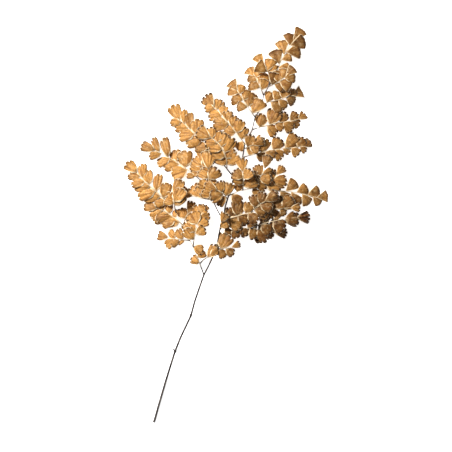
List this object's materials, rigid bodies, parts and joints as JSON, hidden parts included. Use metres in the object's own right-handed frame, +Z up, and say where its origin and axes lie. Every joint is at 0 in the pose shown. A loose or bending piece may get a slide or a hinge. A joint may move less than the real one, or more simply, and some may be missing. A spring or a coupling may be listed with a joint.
{
  "type": "dried fern frond",
  "caption": "Dried maidenhair fern frond lying flat: a long bare wiry stalk that branches twice into open sprays of small fan-shaped leaflets.",
  "frame": {"origin": "middle of the frond's outline, on the surface it lies on", "axes": "+Y from the cut end of the stipe to the frond's tip, +X to the right seen from above, +Z up from the surface"},
  "size_m": [0.2226, 0.4639, 0.0287],
  "materials": {
    "dried_stalk": "smooth wiry stalk, dark grey-brown, low sheen",
    "dried_leaf": "papery dried leaflets, golden brown, matte"
  },
  "bodies": {
    "root": {"stipe_and_rachis": "dried_stalk", "pinna_left_1": "dried_leaf", "pinna_left_1_basal": "dried_leaf", "pinna_left_1a": "dried_leaf", "pinna_left_1b": "dried_leaf", "pinna_left_1c": "dried_leaf", "pinna_left_1d": "dried_leaf", "pinna_left_1e": "dried_leaf", "pinna_left_1f": "dried_leaf", "pinna_left_2": "dried_leaf", "pinna_left_3": "dried_leaf", "pinna_left_3b": "dried_leaf", "pinna_left_3c": "dried_leaf", "pinna_left_3d": "dried_leaf", "pinna_left_4a": "dried_leaf", "pinna_left_4b": "dried_leaf", "pinna_left_5": "dried_leaf", "pinna_left_6": "dried_leaf", "pinna_left_7": "dried_leaf", "pinna_left_8": "dried_leaf", "pinna_apex": "dried_leaf", "pinna_right_9": "dried_leaf", "pinna_right_8": "dried_leaf", "pinna_right_7": "dried_leaf", "pinna_right_6": "dried_leaf", "pinna_right_6b": "dried_leaf", "pinna_right_5": "dried_leaf", "pinna_right_5a": "dried_leaf", "pinna_right_5b": "dried_leaf", "pinna_right_5c": "dried_leaf", "pinna_right_4": "dried_leaf", "pinna_left_2b": "dried_leaf", "pinna_right_3": "dried_leaf", "pinna_right_3b": "dried_leaf", "pinna_right_2b": "dried_leaf", "pinna_right_2": "dried_leaf", "pinna_right_2c": "dried_leaf", "pinna_right_1": "dried_leaf"}
  },
  "joints": []
}
